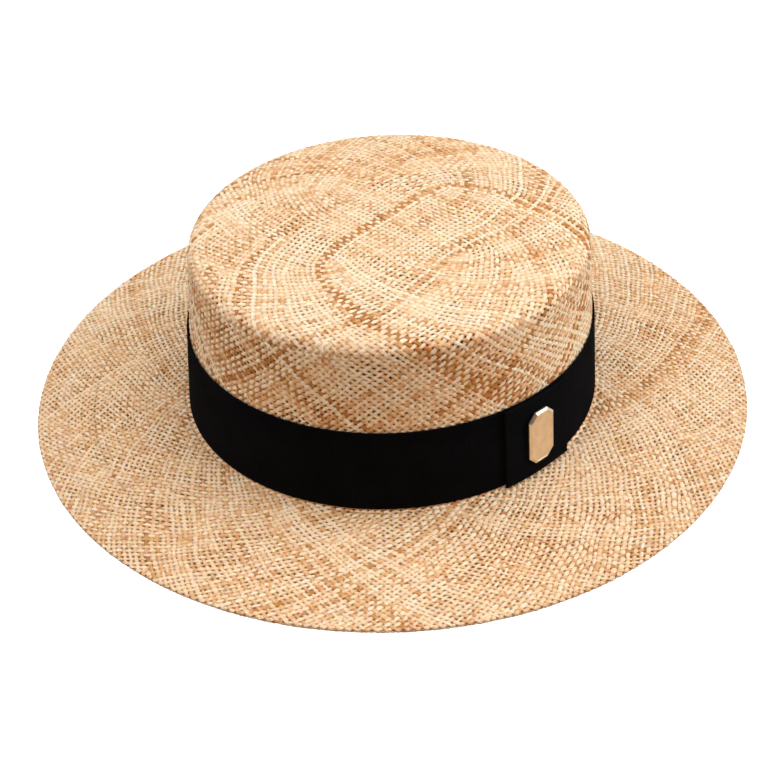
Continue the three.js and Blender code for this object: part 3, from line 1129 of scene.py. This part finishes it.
def plate_outline(plate, inset):
    """Corners of the plate with its corners cut off, moved in by an inset"""
    half_width = plate.width / 2 - inset
    half_height = plate.height / 2 - inset
    cut = plate.corner - inset * (2 - DIAGONAL)
    corners = []
    for side, top in ((1, -1), (1, 1), (-1, 1), (-1, -1)):
        upright = (side * half_width, top * (half_height - cut))
        level = (side * (half_width - cut), top * half_height)
        corners += (upright, level) if side * top > 0 else (level, upright)
    return np.array(corners)


def plate_piece(name, plate, matrix, foot, material):
    """Bevelled plate on the tab, its face a little sunk inside a narrow rim"""
    rings = []
    for share, level in PLATE_LEVELS:
        outline = plate_outline(plate, share * plate.bevel)
        depth = np.full((len(outline), 1), foot + level * plate.thickness)
        rings.append(np.hstack((depth, outline)))
    count = len(rings[0])
    index = np.arange(len(rings) * count).reshape(len(rings), count)
    right = np.roll(index, -1, axis=1)
    quads = np.stack((index[:-1], right[:-1], right[1:], index[1:]), axis=2).reshape(-1, 4)
    caps = np.stack((index[0][::-1], index[-1]))
    points = moved(matrix, np.concatenate(rings))
    return mesh_piece(name, points, [quads, caps], [False, False], material)


# Stage

WHITE = (1.0, 1.0, 1.0, 1.0)
SENSOR_WIDTH = 36.0
FLOOR_CLEARANCE = 0.05 * MM

# Soft lights: name, turn from the camera and angle above the floor in degrees, distance in metres
SOFTBOXES = (("top", 15, 85, 0.9), ("left", -100, 18, 1.5), ("right", 95, 18, 1.5), ("front", 0, 7, 1.5))
SOFTBOX_SIZE = 1.0


def seen_from(azimuth, elevation):
    """Direction from the hat towards a place round it"""
    level = math.cos(elevation)
    return Vector((math.sin(azimuth) * level, -math.cos(azimuth) * level, math.sin(elevation)))


def camera_matrix(stage):
    """Place and turn of the camera"""
    azimuth = stage.camera_azimuth
    back = seen_from(azimuth, stage.camera_elevation)
    right = Vector((math.cos(azimuth), math.sin(azimuth), 0))
    axes = Matrix((right, back.cross(right), back)).transposed().to_4x4()
    turn = Matrix.Rotation(stage.camera_pan, 4, "Y") @ Matrix.Rotation(stage.camera_tilt, 4, "X")
    turn = turn @ Matrix.Rotation(stage.camera_roll, 4, "Z")
    place = Vector((0, 0, stage.camera_height)) + back * stage.camera_distance
    return Matrix.Translation(place) @ axes @ turn


def add_softbox(name, place, power, colour):
    """Square area light that looks at the hat"""
    light = bpy.data.lights.new(name, "AREA")
    light.shape = "SQUARE"
    light.color = colour[:3]
    light.size = SOFTBOX_SIZE
    light.energy = power
    lamp = bpy.data.objects.new(name, light)
    lamp.location = place
    lamp.rotation_euler = (-place).to_track_quat("-Z", "Y").to_euler()
    bpy.context.scene.collection.objects.link(lamp)


def studio_world(stage):
    """White surroundings in the picture that throw only a little light on the hat"""
    world = bpy.data.worlds.new("studio")
    world.use_nodes = True
    tree = world.node_tree
    seen = put(tree, "ShaderNodeLightPath").outputs["Is Camera Ray"]
    dim = shade_of(WHITE, stage.sky_strength)
    tree.links.new(blend(tree, seen, dim, WHITE), tree.nodes["Background"].inputs["Color"])
    return world


# Operators and panel

class HAT_OT_stage(Operator):
    """Set up the camera, the floor and the soft lights"""

    bl_idname = "hat.stage"
    bl_label = "Stage"

    def execute(self, context):
        scene = context.scene
        stage = scene.hat_stage
        camera = bpy.data.objects.new("camera", bpy.data.cameras.new("camera"))
        camera.data.sensor_width = SENSOR_WIDTH
        camera.data.lens = stage.focal_length
        camera.matrix_world = camera_matrix(stage)
        scene.collection.objects.link(camera)
        scene.camera = camera
        half = stage.floor_size / 2
        corners = np.array([(-half, -half, 0), (half, -half, 0), (half, half, 0), (-half, half, 0)])
        material = floor_material(stage, bpy.data.node_groups.get("Soft mottle") or mottle_group())
        floor = mesh_piece("floor", corners, [np.array([[0, 1, 2, 3]])], [False], material)
        floor.location.z = -FLOOR_CLEARANCE
        scene.world = studio_world(stage)
        for name, turn, rise, distance in SOFTBOXES:
            place = seen_from(stage.camera_azimuth + math.radians(turn), math.radians(rise)) * distance
            colour = tuple(stage.front_colour) if name == "front" else WHITE
            add_softbox(f"light_{name}", place, getattr(stage, f"{name}_power"), colour)
        scene.view_settings.view_transform = "Standard"
        return {"FINISHED"}


class HAT_OT_straw_body(Operator):
    """Weave the straw body: tip, wall, brim and hem"""

    bl_idname = "hat.straw_body"
    bl_label = "Straw body"

    def execute(self, context):
        scene = context.scene
        sizes = scene.hat_strands
        profile = BodyProfile(scene.hat_body, sizes.inset)
        weave = Weave(profile, sizes)
        runs = [StrandRun(weave, *family) for family in zip((weave.right, weave.left), weave.chains)]
        middle = np.array([ring.along.mean() for ring in weave.rings])
        brim_half = profile.brim_start + BRIM_SPLIT * profile.brim_width
        ribbon_cover = profile.brim_start - RIBBON_SPLIT
        inner = np.searchsorted(middle, (profile.wall_start, ribbon_cover, profile.brim_start, brim_half))
        cuts = [0, *inner, len(weave.rings) - 1]
        material = straw_material(scene.hat_straw)
        names = ("straw_tip", "straw_wall_upper", "straw_wall_lower", "straw_brim_inner", "straw_brim_outer")
        for name, first, last in zip(names, cuts[:-1], cuts[1:]):
            piece = straw_piece(name, weave, runs, int(first), int(last), material)
            stand_for(piece, "straw_body")
        return {"FINISHED"}


class HAT_OT_ribbon_band(Operator):
    """Lay the ribbon round the foot of the crown"""

    bl_idname = "hat.ribbon_band"
    bl_label = "Ribbon band"

    def execute(self, context):
        scene = context.scene
        ribbon = scene.hat_ribbon
        path, outward, upward = band_path(scene.hat_body, ribbon)
        material = ribbon_material(ribbon, bpy.data.node_groups["Soft mottle"])
        piece = ribbon_loop(
            "ribbon_loop", path, outward, upward,
            ribbon.thickness, ribbon.height, ribbon.rib_depth, material)
        stand_for(piece, "ribbon_band")
        return {"FINISHED"}


class HAT_OT_ribbon_keeper(Operator):
    """Fold the ribbon tab over the ribbon's joint"""

    bl_idname = "hat.ribbon_keeper"
    bl_label = "Ribbon tab"

    def execute(self, context):
        scene = context.scene
        ribbon = scene.hat_ribbon
        layer = TAB_LAYER_SHARE * ribbon.tab_thickness
        matrix = tab_matrix(scene.hat_body, ribbon)
        path, outward = tab_path(ribbon, layer)
        upward = np.tile(np.array(matrix.to_3x3().col[2]), (len(path), 1))
        material = bpy.data.materials["black grosgrain"]
        piece = ribbon_loop(
            "ribbon_tab", moved(matrix, path), turned(matrix, outward), upward,
            layer, ribbon.tab_height, ribbon.rib_depth, material)
        stand_for(piece, "ribbon_keeper")
        return {"FINISHED"}


class HAT_OT_pin_plate(Operator):
    """Fix the plain metal plate to the tab"""

    bl_idname = "hat.pin_plate"
    bl_label = "Plate"

    def execute(self, context):
        scene = context.scene
        ribbon = scene.hat_ribbon
        plate = scene.hat_plate
        matrix = tab_matrix(scene.hat_body, ribbon) @ Matrix.Translation((0, 0, ribbon.tab_height / 2))
        foot = 2 * ribbon.gap + ribbon.tab_thickness
        material = plate_material(plate, bpy.data.node_groups["Soft mottle"])
        piece = plate_piece("metal_plate", plate, matrix, foot, material)
        stand_for(piece, "pin_plate")
        return {"FINISHED"}


class HAT_PT_parts(Panel):
    """Hat parts in the order in which they are made"""

    bl_idname = "HAT_PT_parts"
    bl_label = "Straw hat"
    bl_space_type = "VIEW_3D"
    bl_region_type = "UI"
    bl_category = "Hat"

    def draw(self, context):
        for operator in OPERATORS:
            self.layout.operator(operator.bl_idname)


OPERATORS = (HAT_OT_stage, HAT_OT_straw_body, HAT_OT_ribbon_band, HAT_OT_ribbon_keeper, HAT_OT_pin_plate)
SETTINGS = {
    "hat_body": BodySizes,
    "hat_strands": StrandSizes,
    "hat_straw": StrawColours,
    "hat_ribbon": RibbonSizes,
    "hat_plate": PlateSizes,
    "hat_stage": StageSettings,
}


def register():
    """Register the settings, the operators and the panel"""
    for name, group in SETTINGS.items():
        bpy.utils.register_class(group)
        setattr(bpy.types.Scene, name, PointerProperty(type=group))
    for panel_or_operator in (*OPERATORS, HAT_PT_parts):
        bpy.utils.register_class(panel_or_operator)


def unregister():
    """Take the panel, the operators and the settings away again"""
    for panel_or_operator in (HAT_PT_parts, *reversed(OPERATORS)):
        bpy.utils.unregister_class(panel_or_operator)
    for name, group in reversed(SETTINGS.items()):
        delattr(bpy.types.Scene, name)
        bpy.utils.unregister_class(group)


def main():
    """Build the stage and the hat"""
    register()
    bpy.ops.hat.stage()
    bpy.ops.hat.straw_body()
    bpy.ops.hat.ribbon_band()
    bpy.ops.hat.ribbon_keeper()
    bpy.ops.hat.pin_plate()


if __name__ == "__main__":
    main()
